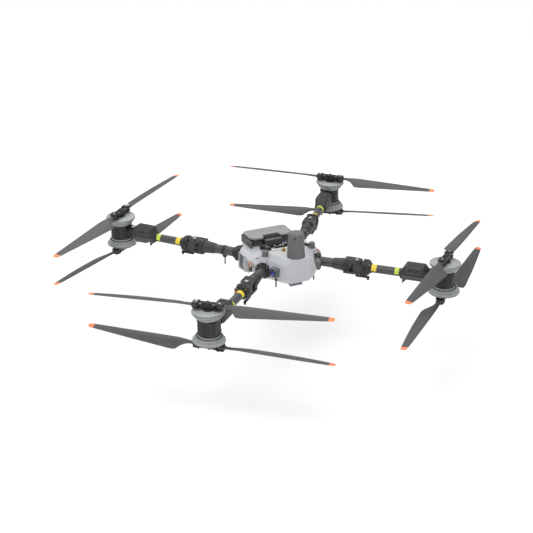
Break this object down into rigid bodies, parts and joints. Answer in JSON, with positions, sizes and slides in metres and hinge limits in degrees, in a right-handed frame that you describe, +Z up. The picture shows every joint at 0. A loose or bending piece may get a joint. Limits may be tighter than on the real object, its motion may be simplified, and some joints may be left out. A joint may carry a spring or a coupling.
{
  "type": "agricultural spray drone",
  "caption": "Coaxial multirotor agricultural drone airframe: faceted grey nose, sensor tower, lift-out battery, folding arms and folding propeller blades.",
  "frame": {"origin": "centre of the payload face, the flat underside of the centre frame, midway between its four payload holes", "axes": "+Z up, -Y towards the nose, +X to the aircraft's left"},
  "size_m": [2.9093, 2.7044, 0.4298],
  "materials": {
    "frame_alloy": "milled",
    "shell_grey": "moulded satin",
    "tower_grey": "moulded fine texture",
    "camera_grey": "moulded",
    "black_plastic": "moulded",
    "joint_casting": "glass-filled nylon",
    "carbon_tube": "satin carbon-fibre composite",
    "pin_steel": "turned",
    "battery_grey": "moulded",
    "latch_orange": "moulded",
    "motor_alloy": "bead-blasted, clear anodised",
    "blade_composite": "carbon-filled nylon"
  },
  "bodies": {
    "airframe": {"centre_frame": "frame_alloy", "flight_electronics": "black_plastic", "nose_shell": "shell_grey", "rear_shell": "shell_grey", "sensor_tower": "tower_grey", "antenna_knobs": "tower_grey", "side_cameras": "camera_grey", "chin_sensor": "black_plastic", "battery_bay": "black_plastic", "inner_arm_tubes": "carbon_tube", "arm_root_collars": "black_plastic", "fold_forks": "joint_casting", "fold_pins": "pin_steel"},
    "battery": {"battery_pack": "battery_grey"},
    "side_latch_left": {"side_latch_left": "latch_orange"},
    "side_latch_right": {"side_latch_right": "latch_orange"},
    "arm_front_left": {"fold_knuckle_front_left": "joint_casting", "outer_tube_front_left": "carbon_tube", "esc_housing_front_left": "black_plastic", "motor_mount_front_left": "black_plastic"},
    "latch_front_left": {"fold_latch_front_left": "latch_orange"},
    "rotor_front_left_top": {"rotor_front_left_top": "motor_alloy"},
    "blade_front_left_top_a": {"blade_front_left_top_a": "blade_composite"},
    "blade_front_left_top_b": {"blade_front_left_top_b": "blade_composite"},
    "rotor_front_left_bottom": {"rotor_front_left_bottom": "motor_alloy"},
    "blade_front_left_bottom_a": {"blade_front_left_bottom_a": "blade_composite"},
    "blade_front_left_bottom_b": {"blade_front_left_bottom_b": "blade_composite"},
    "arm_front_right": {"fold_knuckle_front_right": "joint_casting", "outer_tube_front_right": "carbon_tube", "esc_housing_front_right": "black_plastic", "motor_mount_front_right": "black_plastic"},
    "latch_front_right": {"fold_latch_front_right": "latch_orange"},
    "rotor_front_right_top": {"rotor_front_right_top": "motor_alloy"},
    "blade_front_right_top_a": {"blade_front_right_top_a": "blade_composite"},
    "blade_front_right_top_b": {"blade_front_right_top_b": "blade_composite"},
    "rotor_front_right_bottom": {"rotor_front_right_bottom": "motor_alloy"},
    "blade_front_right_bottom_a": {"blade_front_right_bottom_a": "blade_composite"},
    "blade_front_right_bottom_b": {"blade_front_right_bottom_b": "blade_composite"},
    "arm_rear_left": {"fold_knuckle_rear_left": "joint_casting", "outer_tube_rear_left": "carbon_tube", "esc_housing_rear_left": "black_plastic", "motor_mount_rear_left": "black_plastic"},
    "latch_rear_left": {"fold_latch_rear_left": "latch_orange"},
    "rotor_rear_left_top": {"rotor_rear_left_top": "motor_alloy"},
    "blade_rear_left_top_a": {"blade_rear_left_top_a": "blade_composite"},
    "blade_rear_left_top_b": {"blade_rear_left_top_b": "blade_composite"},
    "rotor_rear_left_bottom": {"rotor_rear_left_bottom": "motor_alloy"},
    "blade_rear_left_bottom_a": {"blade_rear_left_bottom_a": "blade_composite"},
    "blade_rear_left_bottom_b": {"blade_rear_left_bottom_b": "blade_composite"},
    "arm_rear_right": {"fold_knuckle_rear_right": "joint_casting", "outer_tube_rear_right": "carbon_tube", "esc_housing_rear_right": "black_plastic", "motor_mount_rear_right": "black_plastic"},
    "latch_rear_right": {"fold_latch_rear_right": "latch_orange"},
    "rotor_rear_right_top": {"rotor_rear_right_top": "motor_alloy"},
    "blade_rear_right_top_a": {"blade_rear_right_top_a": "blade_composite"},
    "blade_rear_right_top_b": {"blade_rear_right_top_b": "blade_composite"},
    "rotor_rear_right_bottom": {"rotor_rear_right_bottom": "motor_alloy"},
    "blade_rear_right_bottom_a": {"blade_rear_right_bottom_a": "blade_composite"},
    "blade_rear_right_bottom_b": {"blade_rear_right_bottom_b": "blade_composite"}
  },
  "joints": [
    {"name": "battery_lift", "type": "slide", "parent": "airframe", "child": "battery", "axis": [0, 0, 1], "range_m": [0, 0.12]},
    {"name": "side_latch_left_swing", "type": "hinge", "parent": "airframe", "child": "side_latch_left", "pos_m": [0.25, -0.141, 0.09], "axis": [0, -1, 0], "range_deg": [0, 60]},
    {"name": "side_latch_right_swing", "type": "hinge", "parent": "airframe", "child": "side_latch_right", "pos_m": [-0.25, -0.141, 0.09], "axis": [0, 1, 0], "range_deg": [0, 60]},
    {"name": "arm_fold_front_left", "type": "hinge", "parent": "airframe", "child": "arm_front_left", "pos_m": [0.39883, -0.41739, 0.06], "axis": [0, 0, 1], "range_deg": [0, 90]},
    {"name": "fold_latch_swing_front_left", "type": "hinge", "parent": "arm_front_left", "child": "latch_front_left", "pos_m": [0.48394, -0.43303, 0.06], "axis": [0, 0, -1], "range_deg": [0, 70]},
    {"name": "rotor_spin_front_left_top", "type": "hinge", "parent": "arm_front_left", "child": "rotor_front_left_top", "pos_m": [0.8225, -0.828, 0.06], "axis": [0.0247, 0.0247, 0.9994], "continuous": true},
    {"name": "blade_fold_front_left_top_a", "type": "hinge", "parent": "rotor_front_left_top", "child": "blade_front_left_top_a", "pos_m": [0.88232, -0.77503, 0.1993], "axis": [0.0247, 0.0247, 0.9994], "range_deg": [-90, 90]},
    {"name": "blade_fold_front_left_top_b", "type": "hinge", "parent": "rotor_front_left_top", "child": "blade_front_left_top_b", "pos_m": [0.76969, -0.87396, 0.20453], "axis": [0.0247, 0.0247, 0.9994], "range_deg": [-90, 90]},
    {"name": "rotor_spin_front_left_bottom", "type": "hinge", "parent": "arm_front_left", "child": "rotor_front_left_bottom", "pos_m": [0.8225, -0.828, 0.06], "axis": [-0.0247, -0.0247, 0.9994], "continuous": true},
    {"name": "blade_fold_front_left_bottom_a", "type": "hinge", "parent": "rotor_front_left_bottom", "child": "blade_front_left_bottom_a", "pos_m": [0.88209, -0.77562, -0.06331], "axis": [-0.0247, -0.0247, 0.9994], "range_deg": [-90, 90]},
    {"name": "blade_fold_front_left_bottom_b", "type": "hinge", "parent": "rotor_front_left_bottom", "child": "blade_front_left_bottom_b", "pos_m": [0.76912, -0.87416, -0.06853], "axis": [-0.0247, -0.0247, 0.9994], "range_deg": [-90, 90]},
    {"name": "arm_fold_front_right", "type": "hinge", "parent": "airframe", "child": "arm_front_right", "pos_m": [-0.39883, -0.41739, 0.06], "axis": [0, 0, 1], "range_deg": [-90, 0]},
    {"name": "fold_latch_swing_front_right", "type": "hinge", "parent": "arm_front_right", "child": "latch_front_right", "pos_m": [-0.48394, -0.43303, 0.06], "axis": [0, 0, 1], "range_deg": [0, 70]},
    {"name": "rotor_spin_front_right_top", "type": "hinge", "parent": "arm_front_right", "child": "rotor_front_right_top", "pos_m": [-0.8225, -0.828, 0.06], "axis": [-0.0247, 0.0247, 0.9994], "continuous": true},
    {"name": "blade_fold_front_right_top_a", "type": "hinge", "parent": "rotor_front_right_top", "child": "blade_front_right_top_a", "pos_m": [-0.77048, -0.87484, 0.20453], "axis": [-0.0247, 0.0247, 0.9994], "range_deg": [-90, 90]},
    {"name": "blade_fold_front_right_top_b", "type": "hinge", "parent": "rotor_front_right_top", "child": "blade_front_right_top_b", "pos_m": [-0.88153, -0.77415, 0.1993], "axis": [-0.0247, 0.0247, 0.9994], "range_deg": [-90, 90]},
    {"name": "rotor_spin_front_right_bottom", "type": "hinge", "parent": "arm_front_right", "child": "rotor_front_right_bottom", "pos_m": [-0.8225, -0.828, 0.06], "axis": [0.0247, -0.0247, 0.9994], "continuous": true},
    {"name": "blade_fold_front_right_bottom_a", "type": "hinge", "parent": "rotor_front_right_bottom", "child": "blade_front_right_bottom_a", "pos_m": [-0.76895, -0.87396, -0.06853], "axis": [0.0247, -0.0247, 0.9994], "range_deg": [-90, 90]},
    {"name": "blade_fold_front_right_bottom_b", "type": "hinge", "parent": "rotor_front_right_bottom", "child": "blade_front_right_bottom_b", "pos_m": [-0.88227, -0.77582, -0.06331], "axis": [0.0247, -0.0247, 0.9994], "range_deg": [-90, 90]},
    {"name": "arm_fold_rear_left", "type": "hinge", "parent": "airframe", "child": "arm_rear_left", "pos_m": [0.44227, 0.37686, 0.06], "axis": [0, 0, 1], "range_deg": [-90, 0]},
    {"name": "fold_latch_swing_rear_left", "type": "hinge", "parent": "arm_rear_left", "child": "latch_rear_left", "pos_m": [0.45197, 0.46285, 0.06], "axis": [0, 0, -1], "range_deg": [0, 70]},
    {"name": "rotor_spin_rear_left_top", "type": "hinge", "parent": "arm_rear_left", "child": "rotor_rear_left_top", "pos_m": [0.8225, 0.828, 0.06], "axis": [0.0247, -0.0247, 0.9994], "continuous": true},
    {"name": "blade_fold_rear_left_top_a", "type": "hinge", "parent": "rotor_rear_left_top", "child": "blade_rear_left_top_a", "pos_m": [0.76783, 0.87176, 0.20452], "axis": [0.0247, -0.0247, 0.9994], "range_deg": [-90, 90]},
    {"name": "blade_fold_rear_left_top_b", "type": "hinge", "parent": "rotor_rear_left_top", "child": "blade_rear_left_top_b", "pos_m": [0.88418, 0.77723, 0.19931], "axis": [0.0247, -0.0247, 0.9994], "range_deg": [-90, 90]},
    {"name": "rotor_spin_rear_left_bottom", "type": "hinge", "parent": "arm_rear_left", "child": "rotor_rear_left_bottom", "pos_m": [0.8225, 0.828, 0.06], "axis": [-0.0247, 0.0247, 0.9994], "continuous": true},
    {"name": "blade_fold_rear_left_bottom_a", "type": "hinge", "parent": "rotor_rear_left_bottom", "child": "blade_rear_left_bottom_a", "pos_m": [0.76736, 0.87206, -0.06853], "axis": [-0.0247, 0.0247, 0.9994], "range_deg": [-90, 90]},
    {"name": "blade_fold_rear_left_bottom_b", "type": "hinge", "parent": "rotor_rear_left_bottom", "child": "blade_rear_left_bottom_b", "pos_m": [0.88386, 0.77772, -0.06332], "axis": [-0.0247, 0.0247, 0.9994], "range_deg": [-90, 90]},
    {"name": "arm_fold_rear_right", "type": "hinge", "parent": "airframe", "child": "arm_rear_right", "pos_m": [-0.44227, 0.37686, 0.06], "axis": [0, 0, 1], "range_deg": [0, 90]},
    {"name": "fold_latch_swing_rear_right", "type": "hinge", "parent": "arm_rear_right", "child": "latch_rear_right", "pos_m": [-0.45197, 0.46285, 0.06], "axis": [0, 0, 1], "range_deg": [0, 70]},
    {"name": "rotor_spin_rear_right_top", "type": "hinge", "parent": "arm_rear_right", "child": "rotor_rear_right_top", "pos_m": [-0.8225, 0.828, 0.06], "axis": [-0.0247, -0.0247, 0.9994], "continuous": true},
    {"name": "blade_fold_rear_right_top_a", "type": "hinge", "parent": "rotor_rear_right_top", "child": "blade_rear_right_top_a", "pos_m": [-0.88499, 0.77825, 0.19931], "axis": [-0.0247, -0.0247, 0.9994], "range_deg": [-90, 90]},
    {"name": "blade_fold_rear_right_top_b", "type": "hinge", "parent": "rotor_rear_right_top", "child": "blade_rear_right_top_b", "pos_m": [-0.76702, 0.87074, 0.20451], "axis": [-0.0247, -0.0247, 0.9994], "range_deg": [-90, 90]},
    {"name": "rotor_spin_rear_right_bottom", "type": "hinge", "parent": "arm_rear_right", "child": "rotor_rear_right_bottom", "pos_m": [-0.8225, 0.828, 0.06], "axis": [0.0247, 0.0247, 0.9994], "continuous": true},
    {"name": "blade_fold_rear_right_bottom_a", "type": "hinge", "parent": "rotor_rear_right_bottom", "child": "blade_rear_right_bottom_a", "pos_m": [-0.88484, 0.77895, -0.06333], "axis": [0.0247, 0.0247, 0.9994], "range_deg": [-90, 90]},
    {"name": "blade_fold_rear_right_bottom_b", "type": "hinge", "parent": "rotor_rear_right_bottom", "child": "blade_rear_right_bottom_b", "pos_m": [-0.76638, 0.87083, -0.06852], "axis": [0.0247, 0.0247, 0.9994], "range_deg": [-90, 90]}
  ]
}
